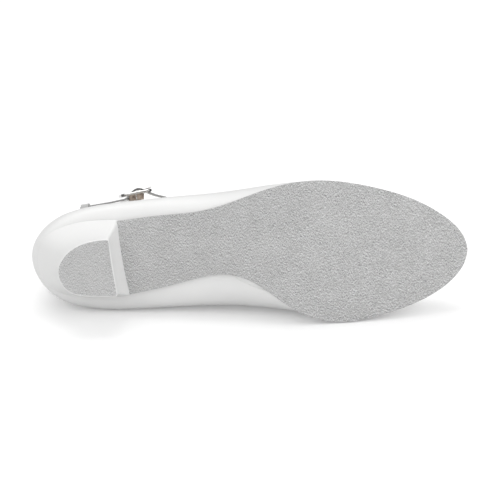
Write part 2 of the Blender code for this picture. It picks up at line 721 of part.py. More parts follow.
def hole_cutters(path, collection, parent):
    """Round cutters for the free holes, along the tail from the slot in use."""
    run = np.concatenate(([0.0], np.cumsum(np.linalg.norm(np.diff(path, axis=0), axis=1))))
    in_use = run[np.argmin(np.linalg.norm(path - np.array(BUCKLE_CENTRE), axis=1))]
    cutters = []
    for number in range(HOLE_COUNT):
        i = int(np.argmin(np.abs(run - in_use - HOLE_FIRST - HOLE_SPACING * number)))
        along = Vector(path[i + 1] - path[i - 1]).normalized()
        through = along.cross(STRAP_APEX - Vector(path[i])).normalized()
        bm = bmesh.new()
        radius, depth = HOLE_RADIUS * MM, 3 * STRAP_THICKNESS * MM
        bmesh.ops.create_cone(bm, cap_ends=True, segments=HOLE_SIDES, radius1=radius, radius2=radius,
                              depth=depth)
        turn = through.to_track_quat("Z", "Y").to_matrix().to_4x4()
        bm.transform(Matrix.Translation(Vector(path[i]) * MM) @ turn)
        name = f"strap_hole_{number + 1}"
        cutters.append(add_object(name, mesh_data(name, bm), collection, parent))
    return cutters


def evaluated_mesh(part):
    return part.evaluated_get(bpy.context.evaluated_depsgraph_get()).to_mesh()


def centre_of_mass(parts, densities):
    total, moment = 0.0, Vector()
    for part in parts:
        mesh = evaluated_mesh(part)
        mesh.calc_loop_triangles()
        density = densities.get(part.name, 1.0)
        for triangle in mesh.loop_triangles:
            a, b, c = (mesh.vertices[i].co for i in triangle.vertices)
            mass = density * a.dot(b.cross(c)) / 6
            total += mass
            moment += mass * (a + b + c) / 4
    return moment / total


def lay_on_inner_side(frame, parts, densities):
    """Turn the frame so that the shoe rests on the inner side, with the floor at Z = 0 under its middle."""
    bpy.context.view_layer.update()
    corners = [vertex.co.copy() for part in parts for vertex in evaluated_mesh(part).vertices]
    centre = centre_of_mass(parts, densities)
    hull = bmesh.new()
    for corner in corners:
        hull.verts.new(corner)
    bmesh.ops.convex_hull(hull, input=hull.verts)
    bmesh.ops.recalc_face_normals(hull, faces=hull.faces)
    inner_faces = [face for face in hull.faces if face.normal.y > INNER_SIDE]
    rests = [face for face in inner_faces
             if intersect_ray_tri(*(vertex.co for vertex in face.verts), face.normal, centre, True)]
    sole_up_most = max(rests, key=lambda face: face.normal.z)
    up = -sole_up_most.normal
    hull.free()
    toe = Vector((1, 0, 0))
    toe = (toe - up * toe.dot(up)).normalized()
    turn = Matrix((toe, up.cross(toe), up))
    turned = np.array([tuple(turn @ corner) for corner in corners])
    low, high = turned.min(axis=0), turned.max(axis=0)
    foot = Vector(((low[0] + high[0]) / 2, (low[1] + high[1]) / 2, low[2]))
    frame.matrix_world = Matrix.Translation(-foot) @ turn.to_4x4()


def build():
    for leftover in list(bpy.data.objects):
        bpy.data.objects.remove(leftover)
    shoe = bpy.data.collections.new("character_shoe")
    cutters = bpy.data.collections.new("cutters")
    for collection in (shoe, cutters):
        bpy.context.scene.collection.children.link(collection)
    frame = add_object("character_shoe_frame", None, shoe)

    white = (0.86, 0.86, 0.85)
    grey = (0.48, 0.48, 0.47)
    steel = (0.78, 0.78, 0.78)
    path = strap_path()
    upper = add_object("upper", upper_mesh(), shoe, frame, finish("white_leather", white, 0.42))
    thicken(upper, WALL, inward=True)
    insole = add_object("insole", insole_mesh(), shoe, frame, finish("sock", (0.80, 0.79, 0.76), 0.7))
    outsole = add_object("outsole", outsole_mesh(), shoe, frame, finish("grey_suede", grey, 0.95))
    heel = add_object("heel", heel_mesh(), shoe, frame, finish("heel_cover", white, 0.42))
    tread_suede = finish("tread_suede", grey, 0.95)
    top_piece = add_object("heel_top_piece", top_piece_mesh(), shoe, frame, tread_suede)
    strap = add_object("strap", strap_mesh(path), shoe, frame, finish("strap_leather", white, 0.42))
    tab = add_object("buckle_tab", tab_mesh(), shoe, frame, finish("tab_leather", (0.70, 0.66, 0.62), 0.5))
    thicken(strap, STRAP_THICKNESS)
    thicken(tab, TAB_THICKNESS)
    loop_leather = finish("keeper_leather", white, 0.42)
    keeper = add_object("strap_keeper", keeper_mesh(path), shoe, frame, loop_leather)

    frame_mesh = wire_mesh("buckle_frame", frame_loop(), FRAME_WIRE, cutters, cyclic=True)
    buckle = add_object("buckle_frame", frame_mesh, shoe, frame, finish("buckle_metal", steel, 0.2, 1.0))
    bar_ends = [at_buckle(0.0, BAR_DROP, up) for up in (-FRAME_SIDE, FRAME_SIDE)]
    bar = add_object("middle_bar", wire_mesh("middle_bar", bar_ends, BAR_WIRE, cutters), cutters, frame)
    cut(buckle, bar, "UNION")
    prong_curve = wire_curve("buckle_prong", prong_points(), PRONG_WIRE)
    prong = add_object("buckle_prong", prong_curve, shoe, frame, finish("prong_metal", steel, 0.2, 1.0))
    holes = hole_cutters(path, cutters, frame)
    for hole in holes:
        cut(strap, hole)
    for cutter in (bar, *holes):
        hide_cutter(cutter)

    parts = (upper, insole, outsole, heel, top_piece, strap, tab, keeper, buckle, prong)
    densities = {heel.name: WOOD_WEIGHT, buckle.name: METAL_WEIGHT, prong.name: METAL_WEIGHT}
    lay_on_inner_side(frame, parts, densities)


build()
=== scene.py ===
import math

import bmesh
import bpy
import numpy as np
from mathutils import Matrix, Vector
from mathutils.bvhtree import BVHTree


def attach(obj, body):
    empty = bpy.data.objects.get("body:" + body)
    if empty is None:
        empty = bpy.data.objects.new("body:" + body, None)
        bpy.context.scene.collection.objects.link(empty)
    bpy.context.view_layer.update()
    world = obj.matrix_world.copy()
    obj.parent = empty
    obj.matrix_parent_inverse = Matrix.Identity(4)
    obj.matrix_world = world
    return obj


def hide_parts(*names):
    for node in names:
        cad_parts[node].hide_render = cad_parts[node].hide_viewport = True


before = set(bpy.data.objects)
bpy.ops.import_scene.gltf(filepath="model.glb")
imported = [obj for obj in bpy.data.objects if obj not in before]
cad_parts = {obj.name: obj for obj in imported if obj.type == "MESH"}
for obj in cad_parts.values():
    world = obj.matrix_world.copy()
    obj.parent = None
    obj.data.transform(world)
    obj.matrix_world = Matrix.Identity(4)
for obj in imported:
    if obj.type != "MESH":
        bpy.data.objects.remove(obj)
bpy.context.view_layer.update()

# Camera. The shoe lies on its inner side with its sole turned to the viewer, toe to the right.
# Places are given for the shoe standing up, in millimetres: X to the toe, Y to the inner side and Z up
# from the tread. LAID turns such a place into the world, where the shoe lies on the floor.
LAID = Matrix((
    (0.999833, -0.017933, -0.003369, -0.128313),
    (0.0, -0.184617, 0.98281, -0.054997),
    (-0.018246, -0.982647, -0.184586, 0.041499),
    (0.0, 0.0, 0.0, 1.0),
))
MM = 0.001
STANDING = LAID.inverted()
EYE = Vector((56.3, -148.5, -987.3))
EYE_RIGHT = Vector((0.9965, 0.0311, -0.0770))
EYE_UP = Vector((0.0417, -0.9894, 0.1392))
EYE_BACK = -Vector((0.0718, 0.1419, 0.9873))
camera = bpy.data.objects.new("camera", bpy.data.cameras.new("camera"))
camera.data.sensor_width = 36.0
camera.data.lens = 124.9
camera.data.clip_start = 0.05
eye_turn = Matrix((EYE_RIGHT, EYE_UP, EYE_BACK)).transposed().to_4x4()
camera.matrix_world = LAID @ Matrix.Translation(EYE * MM) @ eye_turn
bpy.context.scene.collection.objects.link(camera)
bpy.context.scene.camera = camera

# Studio. A white table in a bright room, one broad soft light above and a little behind, so that a pale
# shadow falls towards the viewer, and three weaker softboxes at the front. The table glows a little for
# the camera, and the walls stand dark in reflections, which draws the edges of the buckle's wire.


def map_range(nodes, lowest, highest, start=0.0, end=1.0):
    """Node that carries values between lowest and highest over to start and end."""
    carried = nodes.new("ShaderNodeMapRange")
    for socket, value in (("From Min", lowest), ("From Max", highest), ("To Min", start), ("To Max", end)):
        carried.inputs[socket].default_value = value
    return carried


def math_node(nodes, operation, value=None):
    """Math node, its second input set where a value is given."""
    step = nodes.new("ShaderNodeMath")
    step.operation = operation
    if value is not None:
        step.inputs[1].default_value = value
    return step


bpy.context.scene.view_settings.view_transform = "Standard"
world = bpy.data.worlds.new("bright_room")
world.use_nodes = True
nodes, links = world.node_tree.nodes, world.node_tree.links
aim = nodes.new("ShaderNodeTexCoord")
rise = nodes.new("ShaderNodeSeparateXYZ")
walls = map_range(nodes, 0.05, 0.45, 0.03, 1.0)
behind_camera = map_range(nodes, -0.75, -0.25, 0.08, 1.0)
room = math_node(nodes, "MULTIPLY")
rays = nodes.new("ShaderNodeLightPath")
strength = nodes.new("ShaderNodeMix")
strength.inputs["A"].default_value = 0.70
links.new(aim.outputs["Generated"], rise.inputs["Vector"])
links.new(rise.outputs["Z"], walls.inputs["Value"])
links.new(rise.outputs["Y"], behind_camera.inputs["Value"])
links.new(walls.outputs["Result"], room.inputs[0])
links.new(behind_camera.outputs["Result"], room.inputs[1])
links.new(rays.outputs["Is Glossy Ray"], strength.inputs["Factor"])
links.new(room.outputs[0], strength.inputs["B"])
nodes["Background"].inputs["Color"].default_value = (1.0, 1.0, 1.0, 1.0)
links.new(strength.outputs["Result"], nodes["Background"].inputs["Strength"])
bpy.context.scene.world = world
ceiling = bpy.data.lights.new("ceiling_light", "SUN")
ceiling.energy = 0.92
ceiling.angle = math.radians(45)
ceiling_lamp = bpy.data.objects.new("ceiling_light", ceiling)
ceiling_lamp.rotation_euler = Vector((0.1, -0.35, -1.0)).to_track_quat("-Z", "Y").to_euler()
bpy.context.scene.collection.objects.link(ceiling_lamp)
SOFTBOXES = (
    ("left_softbox", (-1.1, -1.9, 1.5), 7.0),
    ("right_softbox", (2.0, -1.2, 1.2), 16.0),
    ("front_softbox", (0.0, -2.2, 0.6), 6.5),
)
for name, place, energy in SOFTBOXES:
    softbox = bpy.data.lights.new(name, "AREA")
    softbox.shape = "DISK"
    softbox.size = 1.6
    softbox.energy = energy
    softbox_lamp = bpy.data.objects.new(name, softbox)
    softbox_lamp.location = place
    softbox_lamp.rotation_euler = (-softbox_lamp.location).to_track_quat("-Z", "Y").to_euler()
    bpy.context.scene.collection.objects.link(softbox_lamp)


def new_material(name):
    """Material with its Principled shader, and the node and link lists."""
    material = bpy.data.materials.new(name)
    material.use_nodes = True
    nodes = material.node_tree.nodes
    return material, nodes, material.node_tree.links, nodes["Principled BSDF"]


TABLE_HALF = 6.0
floor_bm = bmesh.new()
bmesh.ops.create_grid(floor_bm, x_segments=8, y_segments=8, size=TABLE_HALF)
floor_mesh = bpy.data.meshes.new("table_top")
floor_bm.to_mesh(floor_mesh)
floor_bm.free()
table_top = bpy.data.objects.new("table_top", floor_mesh)
bpy.context.scene.collection.objects.link(table_top)
table_white, nodes, links, shader = new_material("table_white")
rays = nodes.new("ShaderNodeLightPath")
glow = math_node(nodes, "MULTIPLY", 0.25)
links.new(rays.outputs["Is Camera Ray"], glow.inputs[0])
links.new(glow.outputs[0], shader.inputs["Emission Strength"])
shader.inputs["Base Color"].default_value = (0.80, 0.80, 0.80, 1.0)
shader.inputs["Emission Color"].default_value = (1.0, 1.0, 1.0, 1.0)
shader.inputs["Roughness"].default_value = 0.8
shader.inputs["Specular IOR Level"].default_value = 0.2
floor_mesh.materials.append(table_white)

# Upper. One lasted shell of smooth white leather, seamless round the toe, its topline folded over;
# a pale leather lining is glued in. It is pulled over the last and turned in under the insole.


WELD = 0.000001


def solid_copy(node):
    """Copy of a CAD solid as one joined mesh, its triangles paired to four-sided faces."""
    bm = bmesh.new()
    bm.from_mesh(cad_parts[node].data)
    bmesh.ops.remove_doubles(bm, verts=bm.verts, dist=WELD)
    bmesh.ops.join_triangles(bm, faces=bm.faces, angle_face_threshold=0.7, angle_shape_threshold=1.0)
    return bm


def sharp_edges(bm, degrees):
    return [edge for edge in bm.edges if edge.calc_face_angle(0.0) > math.radians(degrees)]


def soften(bm, edges, size, segments=2):
    bmesh.ops.bevel(bm, geom=edges, offset=size * MM, offset_type="OFFSET", affect="EDGES",
                    segments=segments, profile=0.5, material=-1, clamp_overlap=True)


def add_piece(name, bm, materials, replaced=None, levels=0):
    """Object from a mesh, riding on the shoe, smoothed by subdivision where levels are given."""
    mesh = bpy.data.meshes.new(name)
    bm.to_mesh(mesh)
    bm.free()
    mesh.shade_smooth()
    for material in materials:
        mesh.materials.append(material)
    piece = bpy.data.objects.new(name, mesh)
    bpy.context.scene.collection.objects.link(piece)
    if levels:
        smooth = piece.modifiers.new("smooth", "SUBSURF")
        smooth.levels = levels
        smooth.render_levels = levels
    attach(piece, "root")
    if replaced:
        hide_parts(replaced)
    return piece


def islands(bm, borders):
    """Groups of faces that no border edge divides, the largest area first."""
    borders = set(borders)
    left = set(bm.faces)
    groups = []
    while left:
        group, ahead = set(), [left.pop()]
        while ahead:
            face = ahead.pop()
            group.add(face)
            for edge in face.edges:
                if edge not in borders:
                    ahead.extend(other for other in edge.link_faces if other in left)
                    left.difference_update(edge.link_faces)
        groups.append(group)
    return sorted(groups, key=lambda group: -sum(face.calc_area() for face in group))


def leather_grain():
    """Node group: fine pores and creases of leather, as a height, a shade and a roughness."""
    group = bpy.data.node_groups.new("leather_grain", "ShaderNodeTree")
    for size in ("Pore Scale", "Mottle Scale"):
        group.interface.new_socket(size, in_out="INPUT", socket_type="NodeSocketFloat")
    for output in ("Height", "Shade", "Roughness"):
        group.interface.new_socket(output, in_out="OUTPUT", socket_type="NodeSocketFloat")
    nodes, links = group.nodes, group.links
    entry, leave = nodes.new("NodeGroupInput"), nodes.new("NodeGroupOutput")
    place = nodes.new("ShaderNodeTexCoord")
    pores = nodes.new("ShaderNodeTexVoronoi")
    pores.feature = "DISTANCE_TO_EDGE"
    creases = nodes.new("ShaderNodeTexNoise")
    creases.inputs["Scale"].default_value = 420.0
    creases.inputs["Detail"].default_value = 5.0
    cloud = nodes.new("ShaderNodeTexNoise")
    cloud.inputs["Detail"].default_value = 3.0
    for texture in (pores, creases, cloud):
        links.new(place.outputs["Object"], texture.inputs["Vector"])
    links.new(entry.outputs["Pore Scale"], pores.inputs["Scale"])
    links.new(entry.outputs["Mottle Scale"], cloud.inputs["Scale"])
    height = math_node(nodes, "MULTIPLY_ADD", 0.6)
    links.new(pores.outputs["Distance"], height.inputs[0])
    links.new(creases.outputs["Fac"], height.inputs[2])
    links.new(height.outputs[0], leave.inputs["Height"])
    shade = map_range(nodes, 0.3, 0.7)
    links.new(cloud.outputs["Fac"], shade.inputs["Value"])
    links.new(shade.outputs["Result"], leave.inputs["Shade"])
    rough = map_range(nodes, 0.3, 0.7, 0.38, 0.52)
    links.new(creases.outputs["Fac"], rough.inputs["Value"])
    links.new(rough.outputs["Result"], leave.inputs["Roughness"])
    return group


grain = leather_grain()


def colour_mix(nodes, first, second):
    """Node that mixes two colours, the first where the factor is 0."""
    mix = nodes.new("ShaderNodeMix")
    mix.data_type = "RGBA"
    mix.inputs["A"].default_value = (*first, 1.0)
    mix.inputs["B"].default_value = (*second, 1.0)
    return mix


def bump_node(nodes, strength, depth):
    bump = nodes.new("ShaderNodeBump")
    bump.inputs["Strength"].default_value = strength
    bump.inputs["Distance"].default_value = depth
    return bump


def leather(name, light, dark, pore_scale, relief, coat, mottle=22.0):
    """Leather of two close colours, in clouds of the mottle's scale, with a fine grain."""
    material, nodes, links, shader = new_material(name)
    surface = nodes.new("ShaderNodeGroup")
    surface.node_tree = grain
    surface.inputs["Pore Scale"].default_value = pore_scale
    surface.inputs["Mottle Scale"].default_value = mottle
    colour = colour_mix(nodes, dark, light)
    bump = bump_node(nodes, relief, 0.0002)
    links.new(surface.outputs["Shade"], colour.inputs["Factor"])
    links.new(colour.outputs["Result"], shader.inputs["Base Color"])
    links.new(surface.outputs["Height"], bump.inputs["Height"])
    links.new(bump.outputs["Normal"], shader.inputs["Normal"])
    links.new(surface.outputs["Roughness"], shader.inputs["Roughness"])
    shader.inputs["Coat Weight"].default_value = coat
    shader.inputs["Coat Roughness"].default_value = 0.3
    return material


WHITE_LIGHT, WHITE_DARK = (0.79, 0.79, 0.785), (0.765, 0.765, 0.76)
white_leather = leather("white_leather", WHITE_LIGHT, WHITE_DARK, 900.0, 0.12, 0.1)
lining_leather = leather("lining_leather", (0.76, 0.72, 0.65), (0.72, 0.68, 0.61), 700.0, 0.25, 0.0)

upper_bm = solid_copy("upper")
STITCH_INSET, COLLAR_MIDDLE = 2.4, Vector((85.0, 0.0, 0.0))
rims = sharp_edges(upper_bm, 65)
outside, inside, *edges_of_wall = islands(upper_bm, rims)
for face in upper_bm.faces:
    face.material_index = 1 if face in inside else 0


def height_of(faces):
    """Mean height of faces on the standing shoe."""
    return sum((STANDING @ face.calc_center_median()).z for face in faces) / len(faces)


topline_fold = max(edges_of_wall, key=height_of)
topline = [vertex for vertex in {v for face in topline_fold for v in face.verts}
           if any(face in outside for face in vertex.link_faces)]
topline.sort(key=lambda vertex: math.atan2(*(STANDING @ vertex.co - COLLAR_MIDDLE * MM).yx))
stitch_line = []
for vertex in topline:
    below = [edge.other_vert(vertex) for edge in vertex.link_edges
             if all(face in outside for face in edge.link_faces)][0]
    stitch_line.append(vertex.co.lerp(below.co, STITCH_INSET * MM / (below.co - vertex.co).length))
folded = [edge for edge in rims if any(face in topline_fold for face in edge.link_faces)]
soften(upper_bm, folded, size=0.6)
upper = add_piece("upper_leather", upper_bm, (white_leather, lining_leather), "upper", levels=2)

# Topline stitching. One row of white thread round the folded edge holds fold and lining together,
# each stitch pulled a little into the leather at its ends.


def smooth_path(stops, step, trim=0):
    """Even places along a smooth curve through the stops, leaving out the trimmed stops at both ends."""
    stops = np.array([tuple(stop) for stop in stops])
    run = np.concatenate(([0.0], np.cumsum(np.linalg.norm(np.diff(stops, axis=0), axis=1))))
    gaps = np.diff(run)
    slopes = np.diff(stops, axis=0) / gaps[:, None]
    system = np.eye(len(stops))
    bend = np.zeros_like(stops)
    for i in range(1, len(stops) - 1):
        system[i, i - 1:i + 2] = gaps[i - 1], 2 * (gaps[i - 1] + gaps[i]), gaps[i]
        bend[i] = 6 * (slopes[i] - slopes[i - 1])
    bend = np.linalg.solve(system, bend)
    first, last = run[trim], run[len(run) - 1 - trim]
    at = np.linspace(first, last, int((last - first) / step) + 1)
    i = np.clip(np.searchsorted(run, at, side="right") - 1, 0, len(gaps) - 1)
    t, gap = (at - run[i])[:, None], gaps[i][:, None]
    straight = stops[i] + t * (slopes[i] - gap * (2 * bend[i] + bend[i + 1]) / 6)
    return straight + t**2 * bend[i] / 2 + t**3 * (bend[i + 1] - bend[i]) / (6 * gap)


def surface_of(piece):
    return BVHTree.FromObject(piece, bpy.context.evaluated_depsgraph_get())


stitch_bm = bmesh.new()
bmesh.ops.create_uvsphere(stitch_bm, u_segments=8, v_segments=6, radius=1.0)
stitch_shape = bpy.data.meshes.new("stitch")
stitch_bm.to_mesh(stitch_shape)
stitch_bm.free()


def add_stitch(bm, middle, side, outward, half, thread):
    """One stitch about its middle: half of its length to each end, round as the thread."""
    axes = Matrix((side * thread * MM, outward * thread * MM, half)).transposed()
    stitch = stitch_shape.copy()
    stitch.transform(Matrix.Translation(middle) @ axes.to_4x4())
    bm.from_mesh(stitch)
    bpy.data.meshes.remove(stitch)


def stitch_row(bm, line, seat, pitch, length, thread):
    """Thread stitches along a line on a surface, at an even pitch; sizes in millimetres."""
    run = np.concatenate(([0.0], np.cumsum(np.linalg.norm(np.diff(line, axis=0), axis=1))))
    for start in np.linspace(0.0, run[-1], int(run[-1] / (pitch * MM)), endpoint=False):
        ends = [Vector([np.interp(at, run, line[:, axis]) for axis in range(3)])
                for at in (start, start + length * MM)]
        place, normal = seat.find_nearest((ends[0] + ends[1]) / 2)[:2]
        way = (ends[1] - ends[0]).normalized()
        side = normal.cross(way).normalized()
        add_stitch(bm, place, side, normal, way * length * MM / 2, thread)


def thread_material(name, colour):
    """Twisted cotton thread: fine slanting ridges."""
    material, nodes, links, shader = new_material(name)
    place = nodes.new("ShaderNodeTexCoord")
    twist = nodes.new("ShaderNodeTexWave")
    twist.bands_direction = "DIAGONAL"
    twist.inputs["Scale"].default_value = 900.0
    twist.inputs["Distortion"].default_value = 2.0
    bump = bump_node(nodes, 0.4, 0.0001)
    links.new(place.outputs["Object"], twist.inputs["Vector"])
    links.new(twist.outputs["Fac"], bump.inputs["Height"])
    links.new(bump.outputs["Normal"], shader.inputs["Normal"])
    shader.inputs["Base Color"].default_value = (*colour, 1.0)
    shader.inputs["Roughness"].default_value = 0.75
    return material


white_thread = thread_material("white_thread", (0.78, 0.78, 0.765))
LAP = 3
lapped = stitch_line[-LAP:] + stitch_line + stitch_line[:LAP + 1]
round_topline = smooth_path(lapped, 1.0 * MM, trim=LAP)
topline_bm = bmesh.new()
stitch_row(topline_bm, round_topline, surface_of(upper), pitch=3.0, length=2.3, thread=0.24)
add_piece("topline_stitches", topline_bm, (white_thread,))

# Insole sock. A pale leather sock glued over the insole board, cut just inside the upper's wall,
# its edge left raw and slightly rounded.
insole_bm = solid_copy("insole")
soften(insole_bm, sharp_edges(insole_bm, 60), size=0.35)
sock_leather = leather("sock_leather", (0.74, 0.72, 0.68), (0.69, 0.67, 0.63), 620.0, 0.3, 0.0)
add_piece("insole_sock", insole_bm, (sock_leather,), "insole", levels=1)

# Outsole. One piece of grey split suede with the nap outward, cut to the last and cemented to the
# upper from the toe to the heel's breast, where it runs in under the cover's turned edge.


WAIST_X, TOE_X = -0.02, 0.09


def suede_nap():
    """Node group: brushed nap of suede, as a height and a mottled shade with more flecks at the toe; the
    shade carries painted light and shade of the tufts, lit from above, and painted shade towards the toe.
    """
    group = bpy.data.node_groups.new("suede_nap", "ShaderNodeTree")
    for output in ("Shade", "Height"):
        group.interface.new_socket(output, in_out="OUTPUT", socket_type="NodeSocketFloat")
    nodes, links = group.nodes, group.links
    leave = nodes.new("NodeGroupOutput")
    place = nodes.new("ShaderNodeTexCoord")
    brushed = nodes.new("ShaderNodeMapping")
    brushed.inputs["Rotation"].default_value = (0.0, math.radians(-10.0), 0.0)
    brushed.inputs["Scale"].default_value = (2.4, 1.0, 1.0)
    links.new(place.outputs["Object"], brushed.inputs["Vector"])
    above = nodes.new("ShaderNodeMapping")
    above.inputs["Location"].default_value = (0.0, 0.0, 0.0004)
    links.new(brushed.outputs["Vector"], above.inputs["Vector"])
    tufts, tufts_above, fibres, clouds, flecks = (nodes.new("ShaderNodeTexNoise") for _ in range(5))
    for texture, scale, way in ((tufts, 1000.0, brushed.outputs["Vector"]),
                                (tufts_above, 1000.0, above.outputs["Vector"]),
                                (fibres, 4500.0, brushed.outputs["Vector"]),
                                (clouds, 70.0, place.outputs["Object"]),
                                (flecks, 1500.0, place.outputs["Object"])):
        texture.inputs["Scale"].default_value = scale
        texture.inputs["Detail"].default_value = 2.0
        links.new(way, texture.inputs["Vector"])
    pile = math_node(nodes, "MULTIPLY_ADD", 0.2)
    links.new(fibres.outputs["Fac"], pile.inputs[0])
    links.new(tufts.outputs["Fac"], pile.inputs[2])
    links.new(pile.outputs[0], leave.inputs["Height"])
    # Painted light and shade: where the tufts' height falls upward the nap is lighter, where it rises
    # darker, as if lit from above.
    painted_relief_light = math_node(nodes, "SUBTRACT")
    links.new(tufts.outputs["Fac"], painted_relief_light.inputs[0])
    links.new(tufts_above.outputs["Fac"], painted_relief_light.inputs[1])
    reach = nodes.new("ShaderNodeSeparateXYZ")
    links.new(place.outputs["Object"], reach.inputs["Vector"])
    # Flecks grow towards the toe; their offset below the middle also darkens the nap a little towards the
    # toe, painted shade.
    flecks_and_toe_shade = map_range(nodes, WAIST_X, TOE_X, 0.35, 0.6)
    links.new(reach.outputs["X"], flecks_and_toe_shade.inputs["Value"])
    centred = math_node(nodes, "SUBTRACT", 0.54)
    links.new(flecks.outputs["Fac"], centred.inputs[0])
    ruffled = math_node(nodes, "MULTIPLY_ADD")
    links.new(centred.outputs[0], ruffled.inputs[0])
    links.new(flecks_and_toe_shade.outputs["Result"], ruffled.inputs[1])
    links.new(painted_relief_light.outputs[0], ruffled.inputs[2])
    mottle = math_node(nodes, "MULTIPLY_ADD", 0.1)
    links.new(clouds.outputs["Fac"], mottle.inputs[0])
    links.new(ruffled.outputs[0], mottle.inputs[2])
    fuzz = math_node(nodes, "MULTIPLY_ADD", 0.25)
    links.new(fibres.outputs["Fac"], fuzz.inputs[0])
    links.new(mottle.outputs[0], fuzz.inputs[2])
    shade = map_range(nodes, -0.1, 0.4)
    links.new(fuzz.outputs[0], shade.inputs["Value"])
    links.new(shade.outputs["Result"], leave.inputs["Shade"])
    return group


nap = suede_nap()


def suede(name, light, dark, relief):
    """Dull suede between two greys, its nap raised by the relief."""
    material, nodes, links, shader = new_material(name)
    surface = nodes.new("ShaderNodeGroup")
    surface.node_tree = nap
    colour = colour_mix(nodes, dark, light)
    bump = bump_node(nodes, relief, 0.001)
    links.new(surface.outputs["Shade"], colour.inputs["Factor"])
    links.new(colour.outputs["Result"], shader.inputs["Base Color"])
    links.new(surface.outputs["Height"], bump.inputs["Height"])
    links.new(bump.outputs["Normal"], shader.inputs["Normal"])
    shader.inputs["Roughness"].default_value = 0.95
    shader.inputs["Specular IOR Level"].default_value = 0.15
    shader.inputs["Sheen Weight"].default_value = 0.15
    shader.inputs["Sheen Roughness"].default_value = 0.6
    return material


grey_suede = suede("grey_suede", (0.77, 0.77, 0.77), (0.20, 0.20, 0.20), 0.7)
outsole_bm = solid_copy("outsole")
BREAST_SIDE = 61.2
UNDER_COVER = Vector((1.6, 0.0, 0.0))
INNER_AT = (50.0, 62.0, 72.0, 84.0, 94.0, 103.0, 114.0, 126.0, 135.0, 147.0, 156.0)
INNER_SHIFT = (1.2, 1.1, 0.3, -0.5, -1.1, -1.6, -1.8, -1.9, -1.2, -0.3, 0.0)
INNER_REACH = 10.0


def place_of(vertex):
    """Place of a vertex on the standing shoe, in millimetres."""
    return (STANDING @ vertex.co) / MM


def move(vertex, way):
    """Move a vertex by a way given on the standing shoe, in millimetres."""
    vertex.co += LAID.to_3x3() @ way * MM


def part_of_one(value):
    return min(max(value, 0.0), 1.0)


for vertex in outsole_bm.verts:
    if place_of(vertex).x < BREAST_SIDE:
        move(vertex, -UNDER_COVER)
    place = place_of(vertex)
    inner = np.interp(place.x, INNER_AT, INNER_SHIFT) * part_of_one(place.y / INNER_REACH)
    move(vertex, Vector((0.0, inner, 0.0)))
soften(outsole_bm, sharp_edges(outsole_bm, 60), size=0.4)
add_piece("outsole_suede", outsole_bm, (grey_suede,), "outsole", levels=2)

# Heel. A wooden block, waisted below the seat, covered in the upper's white leather, which is pulled
# round the back and turned in over the corners of the flat breast.
heel_bm = solid_copy("heel")
heel_leather = leather("heel_leather", WHITE_LIGHT, WHITE_DARK, 900.0, 0.12, 0.1)
SEAT_MIDDLE, SEAT_FRONT, FLARE_FADE = 30.0, 52.0, 14.0
SEAT_FLARE, FLARE_FROM, FLARE_TO = (0.3, 1.3), 10.0, 33.0
INNER_CORNER, CORNER_FROM, CORNER_FADE, BREAST_TOP = 1.4, 38.0, 16.0, 26.0
TREAD_MIDDLE, TREAD_SPREAD, SPREAD_FROM, SPREAD_FADE = 30.0, 0.8, 15.0, 10.0
SEAT_CORE, TREAD_CORE = 15.0, 7.5


def spread_tread(bm):
    """Widen the heel's lower end, most at the tread, and half as much to the breast."""
    for vertex in bm.verts:
        place = place_of(vertex)
        reach = Vector((place.x - TREAD_MIDDLE, place.y, 0.0))
        if reach.length > TREAD_CORE:
            way = reach.normalized()
            way.x = min(way.x, way.x / 2)
            move(vertex, way * TREAD_SPREAD * part_of_one((SPREAD_FROM - place.z) / SPREAD_FADE))


spread_tread(heel_bm)
for vertex in heel_bm.verts:
    place = place_of(vertex)
    reach = Vector((place.x - SEAT_MIDDLE, place.y, 0.0))
    if reach.length > SEAT_CORE:
        inner = part_of_one(0.5 + 0.5 * (reach.y - reach.x) / reach.length)
        flare = SEAT_FLARE[0] + (SEAT_FLARE[1] - SEAT_FLARE[0]) * inner
        high = part_of_one((place.z - FLARE_FROM) / (FLARE_TO - FLARE_FROM))
        behind = part_of_one((SEAT_FRONT - place.x) / FLARE_FADE)
        move(vertex, reach.normalized() * flare * high**3 * behind)
    ahead = part_of_one((place.x - CORNER_FROM) / CORNER_FADE)
    above = part_of_one(place.z / BREAST_TOP)
    inner = part_of_one(place.y / INNER_REACH)
    move(vertex, Vector((0.0, INNER_CORNER * ahead * above * inner, 0.0)))
soften(heel_bm, sharp_edges(heel_bm, 50), size=0.3)
add_piece("heel_cover", heel_bm, (heel_leather,), "heel", levels=2)

# Top piece. The heel's tread, a D of firm board faced with the same grey suede, nailed and glued to
# the block; its edge is trimmed flush with the cover, rounded off and painted white.
tread_suede = suede("tread_suede", (0.67, 0.67, 0.67), (0.28, 0.28, 0.28), 0.5)
edge_paint = leather("edge_paint", WHITE_LIGHT, WHITE_DARK, 1500.0, 0.2, 0.15)
top_piece_bm = solid_copy("heel_top_piece")
spread_tread(top_piece_bm)
RIM_BELOW, TREAD_FACING = 1.0, -0.98
worn_rim = [edge for edge in sharp_edges(top_piece_bm, 40)
            if max(place_of(vertex).z for vertex in edge.verts) < RIM_BELOW]
soften(top_piece_bm, worn_rim, size=0.8, segments=3)
soften(top_piece_bm, sharp_edges(top_piece_bm, 40), size=0.2)
top_piece_bm.normal_update()
for face in top_piece_bm.faces:
    trodden = (STANDING.to_3x3() @ face.normal).z < TREAD_FACING
    face.material_index = 0 if trodden else 1
add_piece("top_piece_suede", top_piece_bm, (tread_suede, edge_paint), "heel_top_piece",
          levels=1)

